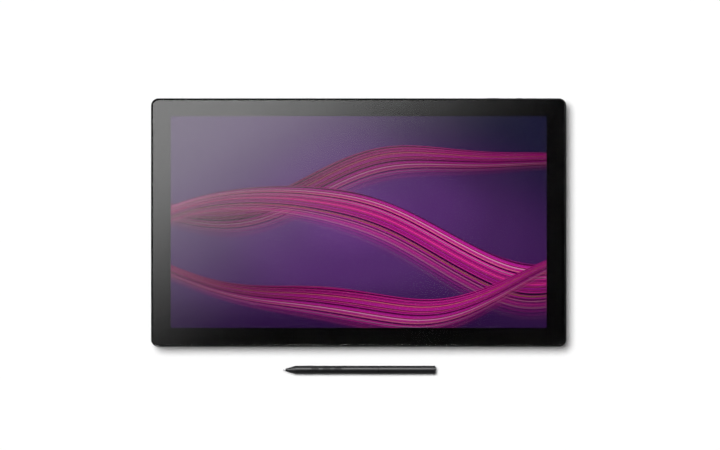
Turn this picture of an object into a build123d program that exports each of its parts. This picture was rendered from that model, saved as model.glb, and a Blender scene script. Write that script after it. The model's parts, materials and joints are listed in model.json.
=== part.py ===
"""Pen display: a 17.3 inch drawing screen in a flat case with fold-out legs, and its pen lying before it.

Millimetres. The origin lies on the desk under the middle of tablet and pen together, +Z points up out of the
screen, +X runs along the long side and the user sits on the -Y side.
"""

from build123d import *
import math
import os

os.makedirs("parts", exist_ok=True)

# Screen and case, seen from above
screen_width = 382.0
screen_depth = 215.0
border_side = 20.0
border_top = 18.2
border_bottom = 19.2
corner_radius = 7.5
tablet_height = 22.0
foot_height = 1.6

# Front frame and cover glass
frame_height = 11.0
frame_wall = 2.2
rim_width = 1.7
rim_round = 0.5
ledge_width = 9.0
ledge_thickness = 2.1
glass_thickness = 1.1
glass_gap = 0.1
glass_arris = 0.12
bond_thickness = 0.3
print_gap = 0.02

# Screen stack
panel_margin = 5.0
panel_thickness = 1.4
panel_flex_strip = 1.5
tray_depth = 3.2
tray_wall = 1.0
tray_floor = 0.5
guide_thickness = 1.5
diffuser_thickness = 0.7
sheet_gap = 0.3
sensor_thickness = 0.8
shield_thickness = 0.4

# LED bar
led_strip_thickness = 0.6
led_strip_height = 1.4
led_length = 3.0
led_depth = 0.7
led_height = 1.1
led_count = 36

# Chassis plate and its screws
chassis_thickness = 1.5
chassis_gap = 0.8
chassis_rib_height = 1.2
chassis_rib_width = 1.6
chassis_rib_margin = 41.0
chassis_rib_insets = (64.0, 92.0)
frame_boss_radius = 2.5
frame_boss_inset = 5.5
frame_side_screw_inset = 41.0
frame_screw_radius = 0.95
frame_screw_length = 4.7
frame_screw_head_radius = 2.0
frame_screw_head_height = 1.3
thread_gap = 0.05
screw_socket_radius = 0.9
screw_socket_depth = 0.7

# Rear cover
cover_skin = 2.2
cover_wall = 3.2
bevel_inset_low = 12.0
bevel_inset_high = 0.8
cover_low_radius = 6.0
cover_cavity_radius = 4.0
lip_height = 0.8
lip_gap = 0.2
lip_width = 1.2
cover_boss_radius = 3.8
cover_screw_inset = 22.0
cover_front_screw_offset = 14.0
cover_screw_radius = 1.2
cover_screw_hole_radius = 1.35
cover_screw_head_radius = 2.2
cover_screw_head_height = 1.4
cover_screw_pocket_radius = 2.5
cover_screw_pocket_depth = 4.0
screw_end_gap = 0.2

# Stand plate inserts
stand_pitch = 75.0
insert_bore_radius = 2.0
insert_radius = 3.0
insert_length = 6.0
insert_gap = 0.02
insert_boss_radius = 4.8
insert_boss_roof = 1.0

# Rubber foot strips
foot_seat_depth = 0.6
foot_width = 9.0
front_foot_margin = 61.0
front_foot_inset = 34.0
rear_foot_margin = 31.0
rear_foot_bay_gap = 24.0
rear_foot_inset = 20.5
foot_gap = 0.1
foot_round = 0.5

# Fold-out legs
leg_x = 131.0
leg_width = 34.0
leg_length = 75.0
leg_recess = 0.3
leg_gap = 0.7
leg_skin = 2.2
leg_rib = 2.4
leg_edge = 0.6
leg_bay_count = 2
hinge_inset = 40.0
pin_radius = 2.0
pin_gap = 0.05
pin_seat_gap = 0.02
tip_length = 9.0
tip_round = 3.0
tip_tenon_length = 5.0
tip_tenon_margin = 1.8
tip_gap = 0.05
pocket_wall = 2.0
pocket_roof = 1.5
pocket_air = 0.7
notch_length = 10.0
notch_width = 22.0
notch_depth = 6.0

# Grips and express keys on the side bevels
grip_length = 122.0
grip_width = 11.0
grip_depth = 1.2
grip_proud = 0.4
grip_round = 3.0
grip_gap = 0.1
key_count = 4
key_pitch = 27.0
key_length = 19.0
key_width = 6.2
key_round = 2.0
key_proud = 0.6
key_gap = 0.2
key_flange = 1.0
key_flange_thickness = 0.8
key_travel = 0.4
key_spare = 0.15
key_stem_radius = 1.3
key_stem_recess = 0.1
key_board_width = 8.0
key_board_thickness = 1.0
key_board_standoff = 0.9
key_board_post_radius = 1.5
dome_radius = 2.0
dome_gap = 0.1

# Buttons on the back edge
control_inset = 61.0
control_board_length = 52.0
control_board_thickness = 0.8
control_board_margin = 0.6
control_board_standoff = 3.3
control_post_radius = 1.5
power_offset = -13.0
power_length = 12.0
power_height = 4.0
power_proud = 0.3
button_gap = 0.15
button_flange = 0.8
button_flange_thickness = 0.8
button_plunger_radius = 1.3
button_plunger_length = 1.0
button_travel = 0.4
tact_width = 4.0
tact_gap = 0.1
touch_offset = 12.0
touch_length = 5.0
touch_height = 2.6
touch_proud = 0.3
touch_travel = 2.5
touch_plunger_width = 1.2
light_offset = -1.0
light_radius = 0.8
light_gap = 0.03
light_length = 4.6

# Port bay in the back edge
bay_width = 104.0
bay_depth = 20.0
bay_wall = 2.0
bay_roof = 1.2
usb_places = (-34.0, -20.0, 22.0)
usb_width = 9.0
usb_height = 3.3
hdmi_place = 1.0
hdmi_width = 15.0
hdmi_height = 5.2
port_length = 8.0
port_shell = 0.4
port_depth = 6.5
port_tongue_thickness = 0.7
port_gap = 0.1
lock_place = 40.0
lock_plate_width = 12.0
lock_plate_height = 6.0
lock_plate_thickness = 1.0
lock_slot_width = 7.0
lock_slot_height = 3.0

# Main board, its chips and the panel driver board
board_standoff = 2.7
board_thickness = 1.2
board_left = -50.0
board_right = 66.0
board_depth = 53.6
board_edge_gap = 0.4
board_corner_margin = 4.0
standoff_radius = 2.5
board_screw_radius = 0.95
board_screw_head_radius = 1.9
board_screw_head_height = 1.2
processor_x = 8.0
processor_inset = 56.0
processor_size = 16.0
chip_height = 1.2
memory_places = (-13.0, 29.0)
memory_width = 9.0
memory_depth = 13.0
port_chip_places = (-30.0, 50.0)
port_chip_size = 7.0
driver_width = 116.0
driver_depth = 20.0
driver_inset = 38.0
driver_standoff = 2.4
driver_thickness = 1.0
flex_places = (-44.0, -22.0, 0.0, 22.0, 44.0)
flex_width = 18.0
flex_thickness = 0.2
flex_offset = 1.4
flex_slot_margin = 1.2
flex_plug_depth = 4.0
flex_plug_height = 1.2

# Cooling
spreader_insert_gap = 1.7
spreader_depth = 34.0
spreader_thickness = 0.8
pipe_width = 6.0
pipe_thickness = 2.2
pipe_bend_radius = 8.0
pipe_end_inset = 1.0
pipe_riser_x = -57.0
pipe_outlet_inset = 17.0
fan_x = -86.0
fan_inset = 44.0
fan_size = 46.0
fan_height = 6.0
fan_standoff = 1.9
fan_plate = 1.0
fan_cavity_radius = 20.5
fan_inlet_radius = 14.0
fan_outlet_width = 33.0
fan_screw_place = 19.8
rotor_radius = 19.0
rotor_hub_radius = 8.5
rotor_gap = 0.3
rotor_disc = 0.5
blade_count = 23
blade_thickness = 0.7
blade_sweep = 22.0
shaft_radius = 1.0
shaft_gap = 0.05
fin_count = 15
fin_pitch = 2.1
fin_thickness = 0.4
fin_height = 3.8
fin_depth = 5.6
vent_count = 15
vent_width = 1.6
vent_pitch = 3.4
vent_height = 3.2
grille_count = 9
grille_slot_width = 1.8
grille_pitch = 3.4
grille_margin = 2.0

# Pen: its offset is along the tablet, its roll turns the side switches away from the user
pen_gap = 19.6
pen_offset = 0.85
pen_roll = 10.0
pen_diameter = 8.7
pen_length = 156.2
nib_radius = 0.6
nib_gap = 0.05
nib_out = 2.7
nib_length = 23.0
nib_travel = 0.3
cone_tip_radius = 1.3
cone_length = 10.5
coil_start = 10.5
coil_length = 7.5
coil_radius = 2.3
coil_bore_radius = 0.9
coil_gap = 0.1
pen_bore_radius = 2.9
sensor_start = 19.0
sensor_length = 7.5
sensor_gap = 0.05
sensor_socket_spare = 0.3
seam_start = 97.2
seam_width = 0.6
seam_inset = 0.35
tenon_radius = 3.55
tenon_length = 8.0
tenon_gap = 0.05
rear_bore_radius = 3.1
tail_length = 2.6
tail_crown = 1.1
tail_bevel = 0.3
tail_seam = 0.15
tail_plug_length = 5.0
switch_panel_start = 27.3
switch_panel_length = 34.9
switch_panel_width = 4.7
switch_panel_groove = 0.25
switch_panel_groove_depth = 0.2
switch_places = (32.8, 44.6, 56.0)
switch_length = 7.0
switch_width = 3.0
switch_proud = 0.1
switch_crown_radius = 6.0
switch_edge_round = 0.12
switch_gap = 0.2
switch_flange = 0.45
switch_flange_thickness = 0.6
switch_flange_drop = 2.3
switch_travel = 0.35
switch_round = 1.2
pen_board_start = 31.0
pen_board_length = 61.0
pen_board_width = 4.8
pen_board_thickness = 0.8
pen_dome_radius = 1.2
pen_dome_gap = 0.25

# One overrun for every cut that leaves a solid
overrun = 4.0

# Places that follow from the sizes above
tablet_width = screen_width + 2 * border_side
tablet_depth = screen_depth + border_top + border_bottom
pen_radius = pen_diameter / 2
footprint_depth = pen_diameter + pen_gap + tablet_depth + touch_proud
back_edge = footprint_depth / 2 - touch_proud
tablet_y = back_edge - tablet_depth / 2
screen_y = tablet_y + (border_bottom - border_top) / 2
pen_y = -footprint_depth / 2 + pen_radius

# Places along the back and the front edge, from the tablet's centre
control_x = tablet_width / 2 - control_inset
power_x = control_x + power_offset
touch_x = control_x + touch_offset
light_x = control_x + light_offset
processor_y = tablet_depth / 2 - processor_inset
fan_y = tablet_depth / 2 - fan_inset
pipe_outlet_y = tablet_depth / 2 - pipe_outlet_inset
driver_place = driver_inset - tablet_depth / 2

# Heights of the layers, from the glass down and from the rear face up
glass_bottom = tablet_height - glass_thickness
panel_top = glass_bottom - bond_thickness
panel_bottom = panel_top - panel_thickness
tray_bottom = panel_bottom - tray_depth
sensor_bottom = tray_bottom - sensor_thickness
chassis_top = sensor_bottom - shield_thickness
chassis_bottom = chassis_top - chassis_thickness
split_height = tablet_height - frame_height
ledge_bottom = panel_top - ledge_thickness
rear_face = foot_height
skin_top = rear_face + cover_skin

# The bevel between the rear face and the split
bevel_run = bevel_inset_low - bevel_inset_high
bevel_rise = split_height - rear_face
bevel_length = math.hypot(bevel_run, bevel_rise)
bevel_sine = bevel_rise / bevel_length
bevel_cosine = bevel_run / bevel_length
wall_across = cover_wall / bevel_sine
bevel_mid_inset = (bevel_inset_low + bevel_inset_high) / 2
bevel_mid_height = (rear_face + split_height) / 2


def level(height):
    """Plane across the tablet at a height, centred on the tablet."""
    return Plane(origin=(0, tablet_y, height))


def screen_level(height):
    """Plane across the tablet at a height, centred on the screen."""
    return Plane(origin=(0, screen_y, height))


def bevel_inset(height):
    """How far the bevel lies inside the case's outline at a height."""
    return bevel_inset_low - bevel_run * (height - rear_face) / bevel_rise


def case_face(height, inset, radius):
    """The case's outline at a height, drawn inwards."""
    with BuildSketch(level(height)) as face:
        RectangleRounded(tablet_width - 2 * inset, tablet_depth - 2 * inset, radius)
    return face.sketch


def disc(plane, radius, places):
    """Round faces at places on a plane."""
    with BuildSketch(plane) as face:
        with Locations(*places):
            Circle(radius)
    return face.sketch


def bar(plane, width, depth, places):
    """Rectangular faces at places on a plane."""
    with BuildSketch(plane) as face:
        with Locations(*places):
            Rectangle(width, depth)
    return face.sketch


# Places of the screws that hold the frame to the chassis, from the tablet's centre
side_row = tablet_width / 2 - frame_boss_inset
back_row = tablet_depth / 2 - frame_boss_inset
long_row_shares = (-0.9, -0.47, 0, 0.47, 0.9)
frame_screw_places = [
    (share * tablet_width / 2, sign * back_row) for share in long_row_shares for sign in (-1, 1)
]
side_screw_y = tablet_depth / 2 - frame_side_screw_inset
frame_screw_places += [(x * side_row, y * side_screw_y) for x in (-1, 1) for y in (-1, 1)]

# Places of the screws that hold the rear cover, from the tablet's centre
cover_side_x = tablet_width / 2 - cover_screw_inset
cover_end_y = tablet_depth / 2 - cover_screw_inset
cover_screw_places = [(x * cover_side_x, y * cover_end_y) for x in (-1, 1) for y in (-1, 0, 1)]
cover_front_screw_x = driver_width / 2 + cover_front_screw_offset
cover_screw_places += [(x * cover_front_screw_x, -cover_end_y) for x in (-1, 1)]


# Front frame: the side walls, the ledge that carries the glass and the bosses under it
edge_mid_height = (split_height + ledge_bottom) / 2


def edge_plane(place, inset=0):
    """Plane parallel to the back edge, looking out, at a place along it and an inset from its face."""
    return Plane(origin=(place, back_edge - inset, edge_mid_height), x_dir=(-1, 0, 0), z_dir=(0, 1, 0))


control_board_face = frame_wall + control_board_standoff
control_post_places = (
    control_x - control_board_length / 2 + 2 * control_post_radius,
    control_x + control_board_length / 2 - 2 * control_post_radius,
)
touch_window_length = touch_length + touch_travel + 2 * button_gap

with BuildPart() as front_frame:
    extrude(case_face(split_height, 0, corner_radius), amount=frame_height)
    fillet(front_frame.edges().group_by(Axis.Z)[-1], radius=rim_round)
    extrude(
        case_face(split_height, frame_wall, corner_radius - frame_wall),
        amount=ledge_bottom - split_height,
        mode=Mode.SUBTRACT,
    )
    extrude(case_face(ledge_bottom, ledge_width, corner_radius), amount=ledge_thickness, mode=Mode.SUBTRACT)
    extrude(
        case_face(panel_top, rim_width, corner_radius - rim_width),
        amount=tablet_height - panel_top + overrun,
        mode=Mode.SUBTRACT,
    )
    extrude(
        disc(level(chassis_top), frame_boss_radius, frame_screw_places),
        amount=ledge_bottom - chassis_top,
    )
    extrude(
        disc(level(chassis_top), frame_screw_radius + thread_gap, frame_screw_places),
        amount=ledge_bottom - chassis_top,
        mode=Mode.SUBTRACT,
    )
    # Posts for the control board
    for place in control_post_places:
        with BuildSketch(edge_plane(place, control_board_face)):
            Circle(control_post_radius)
        extrude(amount=control_board_standoff)
    # Windows of the power button, the touch switch and the status light
    with BuildSketch(edge_plane(power_x, frame_wall)):
        SlotOverall(power_length + 2 * button_gap, power_height + 2 * button_gap)
    extrude(amount=frame_wall + overrun, mode=Mode.SUBTRACT)
    with BuildSketch(edge_plane(touch_x, frame_wall)):
        Rectangle(touch_window_length, touch_height + 2 * button_gap)
    extrude(amount=frame_wall + overrun, mode=Mode.SUBTRACT)
    with BuildSketch(edge_plane(light_x, frame_wall)):
        Circle(light_radius + light_gap)
    extrude(amount=frame_wall + overrun, mode=Mode.SUBTRACT)
front_frame.part.label = "front_frame"
export_step(front_frame.part, "parts/front_frame.step")

# Cover glass, with its arris, and the printed border that bonds it down
glass_inset = rim_width + glass_gap
glass_radius = corner_radius - glass_inset

with BuildPart() as cover_glass:
    extrude(case_face(glass_bottom, glass_inset, glass_radius), amount=glass_thickness)
    chamfer(cover_glass.edges().group_by(Axis.Z)[-1], length=glass_arris)
cover_glass.part.label = "cover_glass"
export_step(cover_glass.part, "parts/cover_glass.step")

with BuildPart() as glass_border:
    extrude(case_face(panel_top, glass_inset, glass_radius), amount=bond_thickness - print_gap)
    extrude(
        bar(screen_level(panel_top), screen_width, screen_depth, [(0, 0)]),
        amount=bond_thickness,
        mode=Mode.SUBTRACT,
    )
glass_border.part.label = "glass_border"
export_step(glass_border.part, "parts/glass_border.step")

# LCD panel, with the bare strip along its front edge that takes the flex strips
panel_width = screen_width + 2 * panel_margin
panel_depth = screen_depth + 2 * panel_margin

with BuildPart() as lcd_panel:
    with BuildSketch(screen_level(panel_bottom)):
        with Locations((0, -panel_flex_strip / 2)):
            Rectangle(panel_width, panel_depth + panel_flex_strip)
    extrude(amount=panel_thickness)
lcd_panel.part.label = "lcd_panel"
export_step(lcd_panel.part, "parts/lcd_panel.step")

# Backlight: tray, light guide, diffuser sheet and LED bar
tray_inner_width = panel_width - 2 * tray_wall
tray_inner_depth = panel_depth - 2 * tray_wall
led_space = led_strip_thickness + led_depth + 2 * sheet_gap
guide_bottom = tray_bottom + tray_floor

with BuildPart() as backlight_tray:
    extrude(bar(screen_level(tray_bottom), panel_width, panel_depth, [(0, 0)]), amount=tray_depth)
    extrude(
        bar(screen_level(guide_bottom), tray_inner_width, tray_inner_depth, [(0, 0)]),
        amount=tray_depth,
        mode=Mode.SUBTRACT,
    )
backlight_tray.part.label = "backlight_tray"
export_step(backlight_tray.part, "parts/backlight_tray.step")

with BuildPart() as light_guide:
    with BuildSketch(screen_level(guide_bottom)):
        with Locations((0, (led_space - sheet_gap) / 2)):
            Rectangle(tray_inner_width - 2 * sheet_gap, tray_inner_depth - led_space - sheet_gap)
    extrude(amount=guide_thickness)
light_guide.part.label = "light_guide"
export_step(light_guide.part, "parts/light_guide.step")

with BuildPart() as diffuser_sheet:
    with BuildSketch(screen_level(guide_bottom + guide_thickness)):
        Rectangle(tray_inner_width - 2 * sheet_gap, tray_inner_depth - 2 * sheet_gap)
    extrude(amount=diffuser_thickness)
diffuser_sheet.part.label = "diffuser_sheet"
export_step(diffuser_sheet.part, "parts/diffuser_sheet.step")

led_strip_y = -tray_inner_depth / 2 + sheet_gap / 2 + led_strip_thickness / 2
led_strip_length = tray_inner_width - 2 * sheet_gap

with BuildPart() as led_bar:
    with BuildSketch(screen_level(guide_bottom)):
        with Locations((0, led_strip_y)):
            Rectangle(led_strip_length, led_strip_thickness)
    extrude(amount=led_strip_height)
    with BuildSketch(screen_level(guide_bottom)):
        with Locations((0, led_strip_y + (led_strip_thickness + led_depth) / 2)):
            with GridLocations(led_strip_length / led_count, led_depth, led_count, 1):
                Rectangle(led_length, led_depth)
    extrude(amount=led_height)
led_bar.part.label = "led_bar"
export_step(led_bar.part, "parts/led_bar.step")

# Pen sensor board and the shield plate behind it
with BuildPart() as sensor_board:
    extrude(bar(screen_level(sensor_bottom), panel_width, panel_depth, [(0, 0)]), amount=sensor_thickness)
sensor_board.part.label = "sensor_board"
export_step(sensor_board.part, "parts/sensor_board.step")

with BuildPart() as shield_plate:
    extrude(bar(screen_level(chassis_top), panel_width, panel_depth, [(0, 0)]), amount=shield_thickness)
shield_plate.part.label = "shield_plate"
export_step(shield_plate.part, "parts/shield_plate.step")

# Places of the boards and of the screws that hold them under the chassis
bay_face = back_edge - bay_depth
board_top = chassis_bottom - board_standoff
board_bottom = board_top - board_thickness
board_back = bay_face - bay_wall - board_edge_gap
board_width = board_right - board_left
board_centre = ((board_left + board_right) / 2, board_back - board_depth / 2 - tablet_y)
board_screw_x = board_width / 2 - board_corner_margin
board_screw_y = board_depth / 2 - board_corner_margin
board_screw_places = [
    (board_centre[0] + x * board_screw_x, board_centre[1] + y * board_screw_y)
    for x in (-1, 1)
    for y in (-1, 1)
]
driver_top = chassis_bottom - driver_standoff
driver_bottom = driver_top - driver_thickness
driver_screw_places = [(x * (driver_width / 2 - board_corner_margin), driver_place) for x in (-1, 1)]
fan_top = chassis_bottom - fan_standoff
fan_bottom = fan_top - fan_height
fan_screw_places = [
    (fan_x - fan_screw_place, fan_y - fan_screw_place),
    (fan_x + fan_screw_place, fan_y - fan_screw_place),
    (fan_x - fan_screw_place, fan_y + fan_screw_place),
]
panel_front = -panel_depth / 2 - panel_flex_strip
flex_y = panel_front - flex_offset + flex_thickness / 2
flex_span = flex_places[-1] - flex_places[0] + flex_width

# Chassis plate with standoffs, stiffening ribs and slots for the flex strips
chassis_inset = frame_wall + chassis_gap

with BuildPart() as chassis:
    extrude(case_face(chassis_bottom, chassis_inset, corner_radius - chassis_gap), amount=chassis_thickness)
    extrude(disc(level(board_top), standoff_radius, board_screw_places), amount=board_standoff)
    extrude(disc(level(driver_top), standoff_radius, driver_screw_places), amount=driver_standoff)
    extrude(disc(level(fan_top), standoff_radius, fan_screw_places), amount=fan_standoff)
    with BuildSketch(level(chassis_bottom - chassis_rib_height)):
        for inset in chassis_rib_insets:
            with Locations((0, inset - tablet_depth / 2)):
                Rectangle(tablet_width - 2 * chassis_rib_margin, chassis_rib_width)
    extrude(amount=chassis_rib_height)
    # Screw holes
    for places, radius in (
        (frame_screw_places, frame_screw_radius + thread_gap),
        (cover_screw_places, cover_screw_radius + thread_gap),
        (board_screw_places, board_screw_radius + thread_gap),
        (driver_screw_places, board_screw_radius + thread_gap),
        (fan_screw_places, board_screw_radius + thread_gap),
    ):
        extrude(
            disc(level(chassis_top), radius, places),
            amount=-(chassis_thickness + overrun),
            mode=Mode.SUBTRACT,
        )
    # Slot for the flex strips
    with BuildSketch(screen_level(chassis_bottom)):
        with Locations((0, flex_y)):
            Rectangle(flex_span + 2 * flex_slot_margin, 2 * flex_slot_margin)
    extrude(amount=chassis_thickness, mode=Mode.SUBTRACT)
    # Notch beside the control board
    with BuildSketch(Plane(origin=(control_x, back_edge, chassis_bottom))):
        Rectangle(
            control_board_length + 2 * control_post_radius,
            2 * (control_board_face + control_board_thickness + chassis_gap),
        )
    extrude(amount=chassis_thickness, mode=Mode.SUBTRACT)
chassis.part.label = "chassis"
export_step(chassis.part, "parts/chassis.step")


def screws(places, seat, shaft_radius, shaft_length, head_radius, head_height):
    """Socket screws driven upwards, each a shaft above its seat and a head below it."""
    with BuildPart() as group:
        extrude(disc(level(seat), shaft_radius, places), amount=shaft_length)
        extrude(disc(level(seat - head_height), head_radius, places), amount=head_height)
        with BuildSketch(level(seat - head_height)):
            with Locations(*places):
                RegularPolygon(screw_socket_radius, 6)
        extrude(amount=screw_socket_depth, mode=Mode.SUBTRACT)
    return group


chassis_screws = screws(
    frame_screw_places,
    chassis_bottom,
    frame_screw_radius,
    frame_screw_length,
    frame_screw_head_radius,
    frame_screw_head_height,
)
chassis_screws.part.label = "chassis_screws"
export_step(chassis_screws.part, "parts/chassis_screws.step")

# Screws of the main board, the driver board and the fan
with BuildPart() as board_screws:
    for places, seat in (
        (board_screw_places, board_bottom),
        (driver_screw_places, driver_bottom),
        (fan_screw_places, fan_bottom),
    ):
        extrude(disc(level(seat), board_screw_radius, places), amount=chassis_top - screw_end_gap - seat)
        extrude(
            disc(level(seat - board_screw_head_height), board_screw_head_radius, places),
            amount=board_screw_head_height,
        )
board_screws.part.label = "board_screws"
export_step(board_screws.part, "parts/board_screws.step")

# Main board with its chips on the underside
with BuildPart() as main_board:
    with BuildSketch(level(board_bottom)):
        with Locations(board_centre):
            Rectangle(board_width, board_depth)
        with Locations(*board_screw_places):
            Circle(board_screw_radius + thread_gap, mode=Mode.SUBTRACT)
    extrude(amount=board_thickness)
main_board.part.label = "main_board"
export_step(main_board.part, "parts/main_board.step")

with BuildPart() as board_chips:
    with BuildSketch(level(board_bottom)):
        with Locations((processor_x, processor_y)):
            Rectangle(processor_size, processor_size)
        for place in memory_places:
            with Locations((place, processor_y)):
                Rectangle(memory_width, memory_depth)
        for place in port_chip_places:
            with Locations((place, processor_y)):
                Rectangle(port_chip_size, port_chip_size)
    extrude(amount=-chip_height)
board_chips.part.label = "board_chips"
export_step(board_chips.part, "parts/board_chips.step")

# Heat spreader on the processor, then the heat pipe to its fins at the fan's outlet
spreader_bottom = board_bottom - chip_height - spreader_thickness
spreader_reach = stand_pitch / 2 - insert_boss_radius - spreader_insert_gap - processor_x
pipe_start_x = processor_x + spreader_reach - pipe_end_inset
pipe_mid_height = spreader_bottom - pipe_thickness / 2
pipe_end_plane = Plane(
    origin=(pipe_start_x, tablet_y + processor_y, pipe_mid_height),
    x_dir=(0, 1, 0),
    z_dir=(-1, 0, 0),
)

with BuildPart() as heat_spreader:
    with BuildSketch(level(spreader_bottom)):
        with Locations((processor_x, processor_y)):
            Rectangle(2 * spreader_reach, spreader_depth)
    extrude(amount=spreader_thickness)
heat_spreader.part.label = "heat_spreader"
export_step(heat_spreader.part, "parts/heat_spreader.step")

with BuildPart() as heat_pipe:
    with BuildLine(level(pipe_mid_height)):
        FilletPolyline(
            (pipe_start_x, processor_y),
            (pipe_riser_x, processor_y),
            (pipe_riser_x, pipe_outlet_y),
            (fan_x - fan_outlet_width / 2, pipe_outlet_y),
            radius=pipe_bend_radius,
        )
    with BuildSketch(pipe_end_plane):
        SlotOverall(pipe_width, pipe_thickness)
    sweep()
    with BuildSketch(level(pipe_mid_height)):
        with Locations((fan_x, pipe_outlet_y)):
            with GridLocations(fin_pitch, fin_depth, fin_count, 1):
                Rectangle(fin_thickness, fin_depth)
    extrude(amount=pipe_thickness / 2 + fin_height)
heat_pipe.part.label = "heat_pipe"
export_step(heat_pipe.part, "parts/heat_pipe.step")

# Fan: housing with its shaft, and the rotor on it
fan_plane_bottom = Plane(origin=(fan_x, tablet_y + fan_y, fan_bottom))
fan_cavity_plane = fan_plane_bottom.offset(fan_plate)
fan_cavity_height = fan_height - 2 * fan_plate

with BuildPart() as fan_housing:
    with BuildSketch(fan_plane_bottom):
        Rectangle(fan_size, fan_size)
    extrude(amount=fan_height)
    with BuildSketch(fan_cavity_plane):
        Circle(fan_cavity_radius)
        Rectangle(fan_outlet_width, fan_size, align=(Align.CENTER, Align.MIN))
    extrude(amount=fan_cavity_height, mode=Mode.SUBTRACT)
    with BuildSketch(fan_plane_bottom):
        Circle(fan_inlet_radius)
    extrude(amount=fan_plate, mode=Mode.SUBTRACT)
    extrude(
        disc(level(fan_bottom), board_screw_radius + thread_gap, fan_screw_places),
        amount=fan_height,
        mode=Mode.SUBTRACT,
    )
    with BuildSketch(fan_cavity_plane.offset(rotor_gap)):
        Circle(shaft_radius)
    extrude(amount=fan_cavity_height - rotor_gap)
fan_housing.part.label = "fan_housing"
export_step(fan_housing.part, "parts/fan_housing.step")

rotor_height = fan_cavity_height - 2 * rotor_gap
blade_mid_radius = (rotor_hub_radius + rotor_radius) / 2

with BuildPart() as fan_rotor:
    with BuildSketch(fan_cavity_plane.offset(rotor_gap)):
        Circle(rotor_hub_radius)
    extrude(amount=rotor_height)
    with BuildSketch(fan_cavity_plane.offset(rotor_gap + rotor_height - rotor_disc)):
        Circle(rotor_radius)
    extrude(amount=rotor_disc)
    with BuildSketch(fan_cavity_plane.offset(rotor_gap)):
        with PolarLocations(blade_mid_radius, blade_count):
            Rectangle(rotor_radius - rotor_hub_radius, blade_thickness, rotation=blade_sweep)
    extrude(amount=rotor_height)
    with BuildSketch(fan_cavity_plane):
        Circle(shaft_radius + shaft_gap)
    extrude(amount=fan_cavity_height, mode=Mode.SUBTRACT)
fan_rotor.part.label = "fan_rotor"
export_step(fan_rotor.part, "parts/fan_rotor.step")

# Panel driver board with a socket for each flex strip
driver_front = driver_place - driver_depth / 2

with BuildPart() as driver_board:
    with BuildSketch(level(driver_top)):
        with Locations((0, driver_place)):
            Rectangle(driver_width, driver_depth)
        with Locations(*driver_screw_places):
            Circle(board_screw_radius + thread_gap, mode=Mode.SUBTRACT)
    extrude(amount=-driver_thickness)
    with BuildSketch(level(driver_top)):
        for place in flex_places:
            with Locations((place, driver_front + flex_plug_depth / 2)):
                Rectangle(flex_width, flex_plug_depth)
    extrude(amount=flex_plug_height)
driver_board.part.label = "driver_board"
export_step(driver_board.part, "parts/driver_board.step")

# Flex strips from under the LCD panel's front edge, through the chassis, to the driver board
flex_turn_y = screen_y + flex_y
flex_panel_y = screen_y + panel_front
flex_socket_y = tablet_y + driver_front
flex_low = driver_top + flex_plug_height / 2

with BuildPart() as panel_flex:
    for place in flex_places:
        with BuildSketch(Plane(origin=(place - flex_width / 2, 0, 0), x_dir=(0, 1, 0), z_dir=(1, 0, 0))):
            with BuildLine():
                Polyline(
                    (flex_turn_y - flex_thickness / 2, flex_low),
                    (flex_turn_y - flex_thickness / 2, panel_bottom),
                    (flex_panel_y + panel_flex_strip - tray_wall / 2, panel_bottom),
                    (flex_panel_y + panel_flex_strip - tray_wall / 2, panel_bottom - flex_thickness),
                    (flex_turn_y + flex_thickness / 2, panel_bottom - flex_thickness),
                    (flex_turn_y + flex_thickness / 2, flex_low + flex_thickness),
                    (flex_socket_y, flex_low + flex_thickness),
                    (flex_socket_y, flex_low),
                    close=True,
                )
            make_face()
        extrude(amount=flex_width)
panel_flex.part.label = "panel_flex"
export_step(panel_flex.part, "parts/panel_flex.step")

# Fold-out legs: heights, and the pocket that each one folds into
pocket_ceiling = chassis_bottom - pocket_air - pocket_roof
leg_bottom = rear_face + leg_recess
leg_thickness = pocket_ceiling - leg_gap - leg_bottom
hinge_height = leg_bottom + leg_thickness / 2
hinge_y = back_edge - hinge_inset
pocket_back = hinge_y + leg_thickness / 2 + leg_gap
pocket_front = hinge_y - leg_length - leg_gap
pocket_length = pocket_back - pocket_front
pocket_width = leg_width + 2 * leg_gap
pocket_plane = Plane(origin=(0, pocket_front, rear_face))
leg_places = [(-leg_x, 0), (leg_x, 0)]
insert_roof = rear_face + insert_length + insert_boss_roof
insert_places = [(x * stand_pitch / 2, y * stand_pitch / 2) for x in (-1, 1) for y in (-1, 1)]
rear_foot_inner = bay_width / 2 + rear_foot_bay_gap
rear_foot_outer = tablet_width / 2 - rear_foot_margin
rear_foot_x = (rear_foot_inner + rear_foot_outer) / 2
rear_foot_y = tablet_depth / 2 - rear_foot_inset
foot_places = [
    (0, front_foot_inset - tablet_depth / 2, tablet_width - 2 * front_foot_margin),
    (-rear_foot_x, rear_foot_y, rear_foot_outer - rear_foot_inner),
    (rear_foot_x, rear_foot_y, rear_foot_outer - rear_foot_inner),
]


def side_plane(side, out=0):
    """Plane on a side bevel, looking out, at a distance outside its face."""
    return Plane(
        origin=(
            side * (tablet_width / 2 - bevel_mid_inset + out * bevel_sine),
            tablet_y,
            bevel_mid_height - out * bevel_cosine,
        ),
        x_dir=(0, 1, 0),
        z_dir=(side * bevel_sine, 0, -bevel_cosine),
    )


def hinge_plane(side):
    """Plane across the middle of a leg's hinge, looking along +X."""
    return Plane(origin=(side * leg_x, hinge_y, hinge_height), x_dir=(0, 1, 0), z_dir=(1, 0, 0))


def port_plane(place, height, depth=0):
    """Plane on the port bay's wall, looking out, at a depth behind its face."""
    return Plane(origin=(place, bay_face - depth, height), x_dir=(-1, 0, 0), z_dir=(0, 1, 0))


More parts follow.
